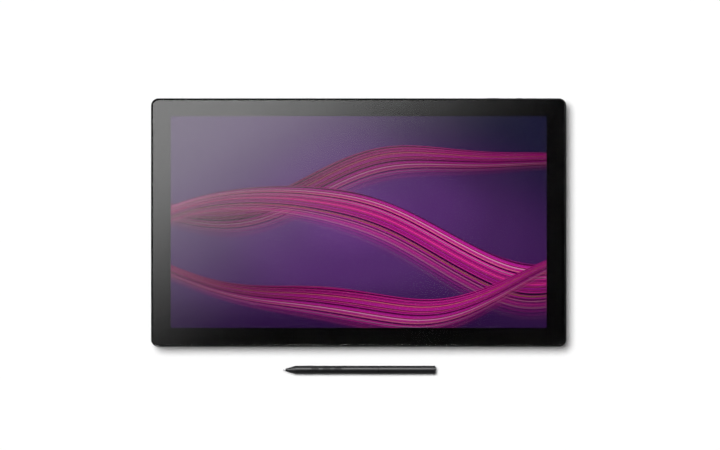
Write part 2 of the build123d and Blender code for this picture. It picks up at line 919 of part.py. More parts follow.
key_places = [((n - (key_count - 1) / 2) * key_pitch, 0) for n in range(key_count)]
key_flange_room = key_flange_thickness + key_travel + key_spare
key_flange_length = key_length + 2 * key_flange
key_flange_width = key_width + 2 * key_flange
lip_inset = frame_wall + lip_gap
lip_radius = corner_radius - lip_inset
vent_plane = Plane(
    origin=(fan_x, back_edge - bevel_inset_low - wall_across, bevel_mid_height),
    x_dir=(-1, 0, 0),
    z_dir=(0, 1, 0),
)
bay_end_plane = Plane(
    origin=(-bay_width / 2 - bay_wall, back_edge, 0),
    x_dir=(0, 1, 0),
    z_dir=(1, 0, 0),
)
key_post_places = [((n - key_count / 2) * key_pitch, 0) for n in range(key_count + 1)]
usb_height_mid = board_bottom - usb_height / 2
hdmi_height_mid = board_bottom - hdmi_height / 2
lock_height_mid = board_bottom - lock_plate_height / 2
bay_ceiling = split_height - bay_roof

with BuildPart() as rear_cover:
    # Tray with bevelled sides
    loft(
        [
            case_face(rear_face, bevel_inset_low, cover_low_radius),
            case_face(split_height, bevel_inset_high, corner_radius),
        ],
        ruled=True,
    )
    loft(
        [
            case_face(skin_top, bevel_inset(skin_top) + wall_across, cover_cavity_radius),
            case_face(split_height, bevel_inset_high + wall_across, cover_cavity_radius),
        ],
        ruled=True,
        mode=Mode.SUBTRACT,
    )
    # Lip that locates the front frame
    with BuildSketch(level(split_height)):
        RectangleRounded(tablet_width - 2 * lip_inset, tablet_depth - 2 * lip_inset, lip_radius)
        RectangleRounded(
            tablet_width - 2 * lip_inset - 2 * lip_width,
            tablet_depth - 2 * lip_inset - 2 * lip_width,
            lip_radius - lip_width,
            mode=Mode.SUBTRACT,
        )
    extrude(amount=lip_height)
    # Bosses of the cover screws and of the stand inserts
    extrude(disc(level(rear_face), cover_boss_radius, cover_screw_places), amount=chassis_bottom - rear_face)
    extrude(disc(level(rear_face), insert_boss_radius, insert_places), amount=insert_roof - rear_face)
    # Leg pockets and finger notches, closed above
    with BuildSketch(pocket_plane):
        with Locations(*leg_places):
            Rectangle(
                pocket_width + 2 * pocket_wall,
                pocket_length + pocket_wall,
                align=(Align.CENTER, Align.MIN),
            )
    extrude(amount=pocket_ceiling + pocket_roof - rear_face)
    with BuildSketch(pocket_plane):
        with Locations(*leg_places):
            Rectangle(
                notch_width + 2 * pocket_wall,
                notch_length + pocket_wall,
                align=(Align.CENTER, Align.MAX),
            )
    extrude(amount=notch_depth + pocket_roof)
    # Block of the port bay, bevelled like the case
    with BuildSketch(bay_end_plane):
        with BuildLine():
            Polyline(
                (-bay_depth - bay_wall, rear_face),
                (-bevel_inset_low, rear_face),
                (-bevel_inset_high, split_height),
                (-bay_depth - bay_wall, split_height),
                close=True,
            )
        make_face()
    extrude(amount=bay_width + 2 * bay_wall)
    # Hollows of the pockets, the notches and the bay
    with BuildSketch(pocket_plane):
        with Locations(*leg_places):
            Rectangle(pocket_width, pocket_length, align=(Align.CENTER, Align.MIN))
    extrude(amount=pocket_ceiling - rear_face, mode=Mode.SUBTRACT)
    with BuildSketch(pocket_plane):
        with Locations(*leg_places):
            Rectangle(notch_width, notch_length, align=(Align.CENTER, Align.MAX))
    extrude(amount=notch_depth, mode=Mode.SUBTRACT)
    with BuildSketch(Plane(origin=(0, bay_face, bay_ceiling))):
        Rectangle(bay_width, bay_depth + overrun, align=(Align.CENTER, Align.MIN))
    extrude(amount=rear_face - bay_ceiling - overrun, mode=Mode.SUBTRACT)
    # Seats of the hinge pins
    for side in (-1, 1):
        with BuildSketch(hinge_plane(side)):
            Circle(pin_radius + pin_seat_gap)
    extrude(amount=pocket_width / 2 + pocket_wall, both=True, mode=Mode.SUBTRACT)
    # Windows of the ports and of the lock slot
    for place in usb_places:
        with BuildSketch(port_plane(place, usb_height_mid, bay_wall)):
            SlotOverall(usb_width + 2 * port_gap, usb_height + 2 * port_gap)
    with BuildSketch(port_plane(hdmi_place, hdmi_height_mid, bay_wall)):
        Rectangle(hdmi_width + 2 * port_gap, hdmi_height + 2 * port_gap)
    with BuildSketch(port_plane(lock_place, lock_height_mid, bay_wall)):
        Rectangle(lock_slot_width, lock_slot_height)
    extrude(amount=bay_wall, mode=Mode.SUBTRACT)
    with BuildSketch(port_plane(lock_place, lock_height_mid, lock_plate_thickness)):
        Rectangle(lock_plate_width + 2 * port_gap, lock_plate_height + 2 * port_gap)
    extrude(amount=lock_plate_thickness, mode=Mode.SUBTRACT)
    # Screw holes with their head pockets, and the holes of the inserts
    extrude(
        disc(level(rear_face), cover_screw_hole_radius, cover_screw_places),
        amount=chassis_bottom - rear_face,
        mode=Mode.SUBTRACT,
    )
    extrude(
        disc(level(rear_face), cover_screw_pocket_radius, cover_screw_places),
        amount=cover_screw_pocket_depth,
        mode=Mode.SUBTRACT,
    )
    extrude(
        disc(level(rear_face), insert_radius + insert_gap, insert_places),
        amount=insert_length,
        mode=Mode.SUBTRACT,
    )
    # Seats of the foot strips
    with BuildSketch(level(rear_face)):
        for x, y, length in foot_places:
            with Locations((x, y)):
                SlotOverall(length + 2 * foot_gap, foot_width + 2 * foot_gap)
    extrude(amount=foot_seat_depth, mode=Mode.SUBTRACT)
    # Air inlet under the fan, and outlet slots in the back bevel
    with BuildSketch(Plane(origin=(fan_x, tablet_y + fan_y, rear_face))):
        Circle(fan_inlet_radius + grille_margin)
        with GridLocations(grille_pitch, grille_pitch, 1, grille_count):
            Rectangle(fan_size, grille_slot_width, mode=Mode.INTERSECT)
    extrude(amount=cover_skin, mode=Mode.SUBTRACT)
    with BuildSketch(vent_plane):
        with GridLocations(vent_pitch, vent_pitch, vent_count, 1):
            Rectangle(vent_width, vent_height)
    extrude(amount=bevel_inset_low + wall_across, mode=Mode.SUBTRACT)
    # Grip seats
    for side in (-1, 1):
        with BuildSketch(side_plane(side, -grip_depth)):
            RectangleRounded(grip_length + 2 * grip_gap, grip_width + 2 * grip_gap, grip_round)
    extrude(amount=grip_depth + overrun, mode=Mode.SUBTRACT)
    # Room for the key flanges, and the holes of the key stems
    for side in (-1, 1):
        with BuildSketch(side_plane(side, -grip_depth)):
            with Locations(*key_places):
                RectangleRounded(key_flange_length + 2 * key_gap, key_flange_width + 2 * key_gap, key_round)
    extrude(amount=-key_flange_room, mode=Mode.SUBTRACT)
    for side in (-1, 1):
        with BuildSketch(side_plane(side, -cover_wall)):
            with Locations(*key_places):
                Circle(key_stem_radius + key_gap)
    extrude(amount=cover_wall - grip_depth, mode=Mode.SUBTRACT)
    # Posts of the key boards
    for side in (-1, 1):
        with BuildSketch(side_plane(side, -cover_wall)):
            with Locations(*key_post_places):
                Circle(key_board_post_radius)
    extrude(amount=-key_board_standoff)
rear_cover.part.label = "rear_cover"
export_step(rear_cover.part, "parts/rear_cover.step")

# Screws of the rear cover, sunk in their bosses
cover_screw_seat = rear_face + cover_screw_pocket_depth
rear_cover_screws = screws(
    cover_screw_places,
    cover_screw_seat,
    cover_screw_radius,
    chassis_top - screw_end_gap - cover_screw_seat,
    cover_screw_head_radius,
    cover_screw_head_height,
)
rear_cover_screws.part.label = "rear_cover_screws"
export_step(rear_cover_screws.part, "parts/rear_cover_screws.step")

# Brass inserts for a stand plate
with BuildPart() as stand_inserts:
    with BuildSketch(level(rear_face)):
        with Locations(*insert_places):
            Circle(insert_radius)
            Circle(insert_bore_radius, mode=Mode.SUBTRACT)
    extrude(amount=insert_length)
stand_inserts.part.label = "stand_inserts"
export_step(stand_inserts.part, "parts/stand_inserts.step")

# Rubber strips that the tablet stands on
with BuildPart() as foot_strips:
    with BuildSketch(level(0)):
        for x, y, length in foot_places:
            with Locations((x, y)):
                SlotOverall(length, foot_width)
    extrude(amount=foot_height + foot_seat_depth)
    fillet(foot_strips.edges().group_by(Axis.Z)[0], radius=foot_round)
foot_strips.part.label = "foot_strips"
export_step(foot_strips.part, "parts/foot_strips.step")

# Grips, express keys and key boards on both sides
key_stem_end = key_stem_recess - cover_wall
key_board_face = -cover_wall - key_board_standoff
dome_height = key_board_standoff + key_stem_recess - key_travel - dome_gap

for side, name in ((-1, "left"), (1, "right")):
    with BuildPart() as grip:
        with BuildSketch(side_plane(side, -grip_depth)):
            RectangleRounded(grip_length, grip_width, grip_round)
        extrude(amount=grip_depth + grip_proud)
        with BuildSketch(side_plane(side, -grip_depth)):
            with Locations(*key_places):
                RectangleRounded(key_length + 2 * key_gap, key_width + 2 * key_gap, key_round)
        extrude(amount=grip_depth + grip_proud, mode=Mode.SUBTRACT)
    grip.part.label = name + "_grip"
    export_step(grip.part, "parts/" + name + "_grip.step")

    for number, place in enumerate(key_places, start=1):
        with BuildPart() as express_key:
            with BuildSketch(side_plane(side, -grip_depth)):
                with Locations(place):
                    RectangleRounded(key_length, key_width, key_round - key_gap)
            extrude(amount=grip_depth + grip_proud + key_proud)
            fillet(express_key.faces().sort_by(Axis.Z)[0].edges(), radius=key_proud / 2)
            with BuildSketch(side_plane(side, -grip_depth)):
                with Locations(place):
                    RectangleRounded(key_flange_length, key_flange_width, key_round)
            extrude(amount=-key_flange_thickness)
            with BuildSketch(side_plane(side, key_stem_end)):
                with Locations(place):
                    Circle(key_stem_radius)
            extrude(amount=-key_stem_end - grip_depth - key_flange_thickness)
        express_key.part.label = name + "_express_key_" + str(number)
        export_step(express_key.part, "parts/" + name + "_express_key_" + str(number) + ".step")

    with BuildPart() as key_board:
        with BuildSketch(side_plane(side, key_board_face)):
            Rectangle(grip_length, key_board_width)
        extrude(amount=-key_board_thickness)
        with BuildSketch(side_plane(side, key_board_face)):
            with Locations(*key_places):
                Circle(dome_radius)
        extrude(amount=dome_height)
    key_board.part.label = name + "_key_board"
    export_step(key_board.part, "parts/" + name + "_key_board.step")

# Power button
flange_face = frame_wall + button_flange_thickness

with BuildPart() as power_button:
    with BuildSketch(edge_plane(power_x, frame_wall)):
        SlotOverall(power_length, power_height)
    extrude(amount=frame_wall + power_proud)
    fillet(power_button.faces().sort_by(Axis.Y)[-1].edges(), radius=power_proud)
    with BuildSketch(edge_plane(power_x, flange_face)):
        RectangleRounded(
            power_length + 2 * button_flange,
            power_height + 2 * button_flange,
            button_flange,
        )
    extrude(amount=button_flange_thickness)
    with BuildSketch(edge_plane(power_x, flange_face + button_plunger_length)):
        Circle(button_plunger_radius)
    extrude(amount=button_plunger_length)
power_button.part.label = "power_button"
export_step(power_button.part, "parts/power_button.step")

# Touch on/off slide switch, drawn at one end of its window
touch_rest_x = touch_x + touch_travel / 2

with BuildPart() as touch_switch:
    with BuildSketch(edge_plane(touch_rest_x, frame_wall)):
        Rectangle(touch_length, touch_height)
    extrude(amount=frame_wall + touch_proud)
    fillet(touch_switch.faces().sort_by(Axis.Y)[-1].edges(), radius=touch_proud / 2)
    with BuildSketch(edge_plane(touch_rest_x, flange_face)):
        Rectangle(touch_window_length + touch_travel, touch_height + 2 * button_flange)
    extrude(amount=button_flange_thickness)
    with BuildSketch(edge_plane(touch_rest_x, flange_face + button_plunger_length)):
        Rectangle(touch_plunger_width, touch_plunger_width)
    extrude(amount=button_plunger_length)
touch_switch.part.label = "touch_switch"
export_step(touch_switch.part, "parts/touch_switch.step")

# Light pipe of the status light
with BuildPart() as light_pipe:
    with BuildSketch(edge_plane(light_x, light_length)):
        Circle(light_radius)
    extrude(amount=light_length)
light_pipe.part.label = "light_pipe"
export_step(light_pipe.part, "parts/light_pipe.step")

# Control board behind them, with the button's switch, the slide switch and the light
control_board_height = ledge_bottom - split_height - 2 * control_board_margin
tact_depth = control_board_face - flange_face - button_plunger_length - button_travel - tact_gap
slide_depth = control_board_face - flange_face - button_plunger_length - button_gap

with BuildPart() as control_board:
    with BuildSketch(edge_plane(control_x, control_board_face + control_board_thickness)):
        Rectangle(control_board_length, control_board_height)
    extrude(amount=control_board_thickness)
    with BuildSketch(edge_plane(power_x, control_board_face)):
        Rectangle(tact_width, tact_width)
    extrude(amount=tact_depth)
    with BuildSketch(edge_plane(touch_x, control_board_face)):
        Rectangle(2 * tact_width, tact_width)
    extrude(amount=slide_depth)
    with BuildSketch(edge_plane(light_x, control_board_face)):
        Rectangle(2 * light_radius, 2 * light_radius)
    extrude(amount=control_board_face - light_length - tact_gap)
control_board.part.label = "control_board"
export_step(control_board.part, "parts/control_board.step")

# Ports: a shell, its back and a tongue each
with BuildPart() as usb_c_ports:
    for place in usb_places:
        with BuildSketch(port_plane(place, usb_height_mid, port_length)):
            SlotOverall(usb_width, usb_height)
        extrude(amount=port_length)
        with BuildSketch(port_plane(place, usb_height_mid, port_depth)):
            SlotOverall(usb_width - 2 * port_shell, usb_height - 2 * port_shell)
        extrude(amount=port_depth, mode=Mode.SUBTRACT)
        with BuildSketch(port_plane(place, usb_height_mid, port_depth)):
            Rectangle(usb_width - usb_height, port_tongue_thickness)
        extrude(amount=port_depth - 2 * port_shell)
usb_c_ports.part.label = "usb_c_ports"
export_step(usb_c_ports.part, "parts/usb_c_ports.step")

with BuildPart() as hdmi_port:
    with BuildSketch(port_plane(hdmi_place, hdmi_height_mid, port_length)):
        Rectangle(hdmi_width, hdmi_height)
    extrude(amount=port_length)
    with BuildSketch(port_plane(hdmi_place, hdmi_height_mid, port_depth)):
        Rectangle(hdmi_width - 2 * port_shell, hdmi_height - 2 * port_shell)
    extrude(amount=port_depth, mode=Mode.SUBTRACT)
    with BuildSketch(port_plane(hdmi_place, hdmi_height_mid, port_depth)):
        Rectangle(hdmi_width - hdmi_height, port_tongue_thickness)
    extrude(amount=port_depth - 2 * port_shell)
hdmi_port.part.label = "hdmi_port"
export_step(hdmi_port.part, "parts/hdmi_port.step")

# Steel plate round the lock slot
with BuildPart() as lock_plate:
    with BuildSketch(port_plane(lock_place, lock_height_mid, lock_plate_thickness)):
        Rectangle(lock_plate_width, lock_plate_height)
        Rectangle(lock_slot_width, lock_slot_height, mode=Mode.SUBTRACT)
    extrude(amount=lock_plate_thickness)
lock_plate.part.label = "lock_plate"
export_step(lock_plate.part, "parts/lock_plate.step")

# Fold-out legs with their rubber tips, folded into their pockets
leg_body_length = leg_length - tip_length
tenon_height = leg_thickness - 2 * tip_tenon_margin
tenon_width = leg_width - 2 * tip_tenon_margin
leg_bay_start = leg_thickness / 2 + leg_rib
leg_bay_length = (leg_body_length - leg_bay_start) / leg_bay_count - leg_rib
leg_bay_width = leg_width - 2 * leg_rib


def leg_plane(side):
    """Plane on a leg's outer cheek: x along the tablet's depth from the hinge, z across the leg."""
    return hinge_plane(side).offset(-leg_width / 2)


def tenon_plane(side):
    """Plane at the root of a leg's tenon, looking towards the leg's tip."""
    return Plane(
        origin=(side * leg_x, hinge_y - leg_body_length, hinge_height),
        x_dir=(1, 0, 0),
        z_dir=(0, -1, 0),
    )


for side, name in ((-1, "left"), (1, "right")):
    with BuildPart() as leg:
        with BuildSketch(leg_plane(side)):
            Circle(leg_thickness / 2)
            Rectangle(leg_body_length, leg_thickness, align=(Align.MAX, Align.CENTER))
        extrude(amount=leg_width)
        chamfer(leg.edges().filter_by(Axis.Y).group_by(Axis.Z)[0], length=leg_edge)
        # Bays behind the skin, open towards the tablet
        for n in range(leg_bay_count):
            bay_start = hinge_y - leg_bay_start - n * (leg_bay_length + leg_rib)
            with BuildSketch(Plane(origin=(side * leg_x, bay_start, leg_bottom + leg_skin))):
                Rectangle(leg_bay_width, leg_bay_length, align=(Align.CENTER, Align.MAX))
            extrude(amount=leg_thickness, mode=Mode.SUBTRACT)
        # Tenon for the rubber tip
        with BuildSketch(tenon_plane(side)):
            Rectangle(tenon_width, tenon_height)
        extrude(amount=tip_tenon_length)
        with BuildSketch(leg_plane(side)):
            Circle(pin_radius + pin_gap)
        extrude(amount=leg_width, mode=Mode.SUBTRACT)
    leg.part.label = name + "_leg"
    export_step(leg.part, "parts/" + name + "_leg.step")

    with BuildPart() as leg_tip:
        with BuildSketch(leg_plane(side)):
            with Locations((-leg_body_length, 0)):
                Rectangle(tip_length, leg_thickness, align=(Align.MAX, Align.CENTER))
        extrude(amount=leg_width)
        fillet(leg_tip.edges().filter_by(Axis.X).group_by(Axis.Y)[0], radius=tip_round)
        with BuildSketch(tenon_plane(side)):
            Rectangle(tenon_width + 2 * tip_gap, tenon_height + 2 * tip_gap)
        extrude(amount=tip_tenon_length + tip_gap, mode=Mode.SUBTRACT)
    leg_tip.part.label = name + "_leg_tip"
    export_step(leg_tip.part, "parts/" + name + "_leg_tip.step")

# Hinge pins, seated in both walls of their pockets
with BuildPart() as leg_pins:
    for side in (-1, 1):
        with BuildSketch(hinge_plane(side)):
            Circle(pin_radius)
        extrude(amount=pocket_width / 2 + pocket_wall, both=True)
leg_pins.part.label = "leg_pins"
export_step(leg_pins.part, "parts/leg_pins.step")

# Pen: its axis runs along +X from the nib's tip
pen_start = pen_offset - pen_length / 2
pen_axis = Axis((pen_start, pen_y, pen_radius), (1, 0, 0))


def pen_side_plane():
    """Plane through the pen's axis: x along the pen from the nib's tip, y up."""
    return Plane(origin=(pen_start, pen_y, pen_radius), x_dir=(1, 0, 0), z_dir=(0, -1, 0))


def pen_level(height):
    """Plane at a height over the pen's axis, square to the press of its switches: x along the pen."""
    turn = math.radians(pen_roll)
    upward = (0, math.sin(turn), math.cos(turn))
    return Plane(origin=(pen_start, pen_y, pen_radius), x_dir=(1, 0, 0), z_dir=upward).offset(height)


cone_end = nib_out + cone_length
coil_end = coil_start + coil_length
front_end = seam_start
tenon_end = seam_start + seam_width + tenon_length
rear_start = seam_start + seam_width
tail_start = pen_length - tail_length
switch_top = pen_radius + switch_proud
flange_top = pen_radius - switch_flange_drop
pen_board_top = pen_board_thickness / 2
pen_dome_height = flange_top - switch_flange_thickness - switch_travel - pen_dome_gap - pen_board_top

# What the parting groove round the side switches takes away, of one depth all round
with BuildPart() as panel_groove:
    with BuildSketch(pen_level(0)):
        with Locations((switch_panel_start + switch_panel_length / 2, 0)):
            SlotOverall(switch_panel_length, switch_panel_width)
            SlotOverall(
                switch_panel_length - 2 * switch_panel_groove,
                switch_panel_width - 2 * switch_panel_groove,
                mode=Mode.SUBTRACT,
            )
    extrude(amount=pen_diameter)
    with BuildSketch(pen_side_plane()):
        Rectangle(pen_length, pen_radius - switch_panel_groove_depth, align=(Align.MIN, Align.MIN))
    revolve(axis=pen_axis, mode=Mode.SUBTRACT)

with BuildPart() as pen_barrel:
    with BuildSketch(pen_side_plane()):
        with BuildLine():
            Polyline(
                (nib_out, nib_radius + nib_gap),
                (nib_out, cone_tip_radius),
                (cone_end, pen_radius),
                (front_end, pen_radius),
                (front_end, tenon_radius),
                (tenon_end, tenon_radius),
                (tenon_end, pen_bore_radius),
                (coil_end, pen_bore_radius),
                (coil_end, coil_radius + coil_gap),
                (coil_start, coil_radius + coil_gap),
                (coil_start, nib_radius + nib_gap),
                close=True,
            )
        make_face()
    revolve(axis=pen_axis)
    add(panel_groove.part, mode=Mode.SUBTRACT)
    # Windows of the side switches
    with BuildSketch(pen_level(0)):
        for place in switch_places:
            with Locations((place, 0)):
                RectangleRounded(switch_length + 2 * switch_gap, switch_width + 2 * switch_gap, switch_round)
    extrude(amount=pen_radius, mode=Mode.SUBTRACT)
pen_barrel.part.label = "pen_barrel"
export_step(pen_barrel.part, "parts/pen_barrel.step")

with BuildPart() as pen_nib:
    with BuildSketch(pen_side_plane()):
        with BuildLine():
            JernArc((0, 0), (0, 1), nib_radius, -90)
            Polyline((nib_radius, nib_radius), (nib_length, nib_radius), (nib_length, 0), (0, 0))
        make_face()
    revolve(axis=pen_axis)
pen_nib.part.label = "pen_nib"
export_step(pen_nib.part, "parts/pen_nib.step")

for place, name in zip(switch_places, ("front", "middle", "rear")):
    with BuildPart() as pen_switch:
        with BuildSketch(pen_level(flange_top)):
            with Locations((place, 0)):
                RectangleRounded(switch_length, switch_width, switch_round - switch_gap)
        extrude(amount=switch_top - flange_top)
        # Crowned top, flatter than the barrel's round
        with BuildSketch(Plane(origin=pen_level(switch_top - switch_crown_radius).origin, z_dir=(1, 0, 0))):
            Circle(switch_crown_radius)
        extrude(amount=pen_length, mode=Mode.INTERSECT)
        fillet(pen_switch.faces().sort_by(Axis.Z)[-1].edges(), radius=switch_edge_round)
        with BuildSketch(pen_level(flange_top)):
            with Locations((place, 0)):
                Rectangle(switch_length + 2 * switch_flange, switch_width + 2 * switch_flange)
        extrude(amount=-switch_flange_thickness)
    pen_switch.part.label = "pen_switch_" + name
    export_step(pen_switch.part, "parts/pen_switch_" + name + ".step")

with BuildPart() as pen_coil:
    with BuildSketch(pen_side_plane()):
        with Locations((coil_start, coil_bore_radius)):
            Rectangle(coil_length, coil_radius - coil_bore_radius, align=(Align.MIN, Align.MIN))
    revolve(axis=pen_axis)
pen_coil.part.label = "pen_coil"
export_step(pen_coil.part, "parts/pen_coil.step")

with BuildPart() as pen_force_sensor:
    with BuildSketch(pen_side_plane()):
        with Locations((sensor_start, 0)):
            Rectangle(sensor_length, pen_bore_radius - sensor_gap, align=(Align.MIN, Align.MIN))
        with Locations((sensor_start, 0)):
            Rectangle(
                nib_length - sensor_start + nib_travel + sensor_socket_spare,
                nib_radius + nib_gap,
                align=(Align.MIN, Align.MIN),
                mode=Mode.SUBTRACT,
            )
    revolve(axis=pen_axis)
pen_force_sensor.part.label = "pen_force_sensor"
export_step(pen_force_sensor.part, "parts/pen_force_sensor.step")

with BuildPart() as pen_board:
    with BuildSketch(pen_level(-pen_board_thickness / 2)):
        with Locations((pen_board_start, 0)):
            Rectangle(pen_board_length, pen_board_width, align=(Align.MIN, Align.CENTER))
    extrude(amount=pen_board_thickness)
    with BuildSketch(pen_level(pen_board_top)):
        for place in switch_places:
            with Locations((place, 0)):
                Circle(pen_dome_radius)
    extrude(amount=pen_dome_height)
pen_board.part.label = "pen_board"
export_step(pen_board.part, "parts/pen_board.step")

seam_bore = tenon_radius + tenon_gap / 2

with BuildPart() as pen_seam_ring:
    with BuildSketch(pen_side_plane()):
        with Locations((seam_start, seam_bore)):
            Rectangle(seam_width, pen_radius - seam_inset - seam_bore, align=(Align.MIN, Align.MIN))
    revolve(axis=pen_axis)
pen_seam_ring.part.label = "pen_seam_ring"
export_step(pen_seam_ring.part, "parts/pen_seam_ring.step")

rear_step = tenon_end + tenon_gap

with BuildPart() as pen_rear_barrel:
    with BuildSketch(pen_side_plane()):
        with BuildLine():
            Polyline(
                (rear_start, tenon_radius + tenon_gap),
                (rear_start, pen_radius),
                (tail_start, pen_radius),
                (tail_start, rear_bore_radius),
                (rear_step, rear_bore_radius),
                (rear_step, tenon_radius + tenon_gap),
                close=True,
            )
        make_face()
    revolve(axis=pen_axis)
pen_rear_barrel.part.label = "pen_rear_barrel"
export_step(pen_rear_barrel.part, "parts/pen_rear_barrel.step")

with BuildPart() as pen_tail_cap:
    with BuildSketch(pen_side_plane()):
        with BuildLine():
            Polyline(
                (tail_start - tail_plug_length, 0),
                (tail_start - tail_plug_length, rear_bore_radius - tenon_gap),
                (tail_start, rear_bore_radius - tenon_gap),
                (tail_start, pen_radius - tail_seam),
                (tail_start + tail_seam, pen_radius),
                (pen_length - tail_crown - tail_bevel, pen_radius),
                (pen_length - tail_crown, pen_radius - tail_bevel),
            )
            TangentArc((pen_length, 0), (pen_length - tail_crown, pen_radius - tail_bevel), tangent=(0, 1))
            Line((pen_length, 0), (tail_start - tail_plug_length, 0))
        make_face()
    revolve(axis=pen_axis)
pen_tail_cap.part.label = "pen_tail_cap"
export_step(pen_tail_cap.part, "parts/pen_tail_cap.step")
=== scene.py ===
"""Looks of the pen display: materials, its lit picture, studio and camera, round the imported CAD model."""

import json
import math

import bpy
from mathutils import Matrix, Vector


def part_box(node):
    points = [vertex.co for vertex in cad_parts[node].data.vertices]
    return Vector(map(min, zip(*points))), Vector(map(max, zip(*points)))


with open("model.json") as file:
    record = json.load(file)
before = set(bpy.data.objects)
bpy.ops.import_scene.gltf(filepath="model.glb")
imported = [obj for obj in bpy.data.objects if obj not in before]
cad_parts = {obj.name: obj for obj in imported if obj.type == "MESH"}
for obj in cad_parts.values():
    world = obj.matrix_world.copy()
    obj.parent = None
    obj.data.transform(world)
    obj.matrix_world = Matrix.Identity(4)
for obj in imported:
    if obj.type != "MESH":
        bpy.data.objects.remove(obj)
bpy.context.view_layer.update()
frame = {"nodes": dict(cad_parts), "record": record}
nodes = frame["nodes"]

# The lit picture's place under the glass, in metres
glass_low, glass_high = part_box("cover_glass")
glass_height = glass_high.z
screen_half_width = 0.191
screen_offset = 0.0005
screen_middle_y = ((glass_low + glass_high) / 2).y + screen_offset

# Camera: straight above, with the photograph's frame of 720 by 450
metres_per_pixel = 0.0010163
frame_width_pixels = 720
frame_middle = Vector((0.00137, 0.011475))
camera_distance = 8.0
camera_reach = 50
sensor_width = 36.0

camera_data = bpy.data.cameras.new("camera")
camera_data.sensor_width = sensor_width
camera_data.lens = sensor_width * camera_distance / (frame_width_pixels * metres_per_pixel)
camera_data.clip_end = camera_reach
camera = bpy.data.objects.new("camera", camera_data)
camera.location = (frame_middle.x, frame_middle.y, glass_height + camera_distance)
bpy.context.scene.collection.objects.link(camera)
bpy.context.scene.camera = camera
bpy.context.scene.view_settings.view_transform = "Standard"


class Shader:
    """A material's or world's node tree, with one short call for each kind of node."""

    # Sockets of the Mix node that mix colours; its sockets' names repeat, so they go by number
    mix_share, mix_first, mix_second, mix_result = 0, 6, 7, 2

    def __init__(self, tree):
        self.tree = tree
        self.links = tree.links
        tree.nodes.clear()

    def add(self, kind, **settings):
        node = self.tree.nodes.new(kind)
        for key, value in settings.items():
            setattr(node, key, value)
        return node

    def put(self, socket, value):
        """Links a socket into another, or sets its plain value."""
        if isinstance(value, bpy.types.NodeSocket):
            self.links.new(value, socket)
        else:
            socket.default_value = value

    def math(self, operation, *values):
        node = self.add("ShaderNodeMath", operation=operation)
        for socket, value in zip(node.inputs, values):
            self.put(socket, value)
        return node.outputs[0]

    def linear(self, value, factor, shift):
        """The value times the factor, plus the shift."""
        return self.math("ADD", self.math("MULTIPLY", value, factor), shift)

    def smooth(self, value, start, end):
        """0 at start and 1 at end, with a smooth turn between."""
        node = self.add("ShaderNodeMapRange", interpolation_type="SMOOTHSTEP")
        self.put(node.inputs["Value"], value)
        self.put(node.inputs["From Min"], start)
        self.put(node.inputs["From Max"], end)
        return node.outputs["Result"]

    def mix(self, share, first, second, blend="MIX"):
        node = self.add("ShaderNodeMix", data_type="RGBA", blend_type=blend)
        self.put(node.inputs[self.mix_share], share)
        self.put(node.inputs[self.mix_first], first)
        self.put(node.inputs[self.mix_second], second)
        return node.outputs[self.mix_result]

    def ramp(self, value, stops, interpolation="LINEAR"):
        """Colours along a value, from stops of (place, colour)."""
        node = self.add("ShaderNodeValToRGB")
        node.color_ramp.interpolation = interpolation
        elements = node.color_ramp.elements
        while len(elements) < len(stops):
            elements.new(0.5)
        for element, (place, colour) in zip(elements, stops):
            element.position = place
            element.color = (*colour, 1)
        self.put(node.inputs[0], value)
        return node.outputs[0]

    def place(self):
        """Place on the object, in metres."""
        return self.add("ShaderNodeTexCoord").outputs["Object"]

    def split(self, vector):
        node = self.add("ShaderNodeSeparateXYZ")
        self.put(node.inputs[0], vector)
        return node.outputs

    def scaled(self, vector, scale):
        node = self.add("ShaderNodeMapping")
        self.put(node.inputs["Vector"], vector)
        node.inputs["Scale"].default_value = scale
        return node.outputs[0]

    def noise(self, place, scale, detail=2.0, roughness=0.5):
        """Noise between 0 and 1, in space."""
        node = self.add("ShaderNodeTexNoise", noise_dimensions="3D")
        self.put(node.inputs["Vector"], place)
        node.inputs["Scale"].default_value = scale
        node.inputs["Detail"].default_value = detail
        node.inputs["Roughness"].default_value = roughness
        return node.outputs[0]

    def noise_along(self, value, scale):
        """Noise between 0 and 1, along one number."""
        node = self.add("ShaderNodeTexNoise", noise_dimensions="1D")
        self.put(node.inputs["W"], value)
        node.inputs["Scale"].default_value = scale
        node.inputs["Detail"].default_value = 1.0
        node.inputs["Roughness"].default_value = 0.5
        return node.outputs[0]

    def cells(self, place, scale, **settings):
        """Distance in a pattern of cells."""
        node = self.add("ShaderNodeTexVoronoi", **settings)
        self.put(node.inputs["Vector"], place)
        node.inputs["Scale"].default_value = scale
        return node.outputs["Distance"]

    def bump(self, height, depth, normal=None):
        """Surface relief with a depth in metres."""
        node = self.add("ShaderNodeBump")
        node.inputs["Strength"].default_value = 1
        node.inputs["Distance"].default_value = depth
        self.put(node.inputs["Height"], height)
        if normal is not None:
            self.put(node.inputs["Normal"], normal)
        return node.outputs[0]

    def principled(self, **values):
        node = self.add("ShaderNodeBsdfPrincipled")
        for key, value in values.items():
            self.put(node.inputs[key.replace("_", " ")], value)
        return node

    def finish(self, shader):
        output = self.add("ShaderNodeOutputMaterial")
        self.links.new(shader, output.inputs["Surface"])


def new_material(name):
    material = bpy.data.materials.new(name)
    material.use_nodes = True
    return material, Shader(material.node_tree)


def grey(level):
    return (level, level, level)


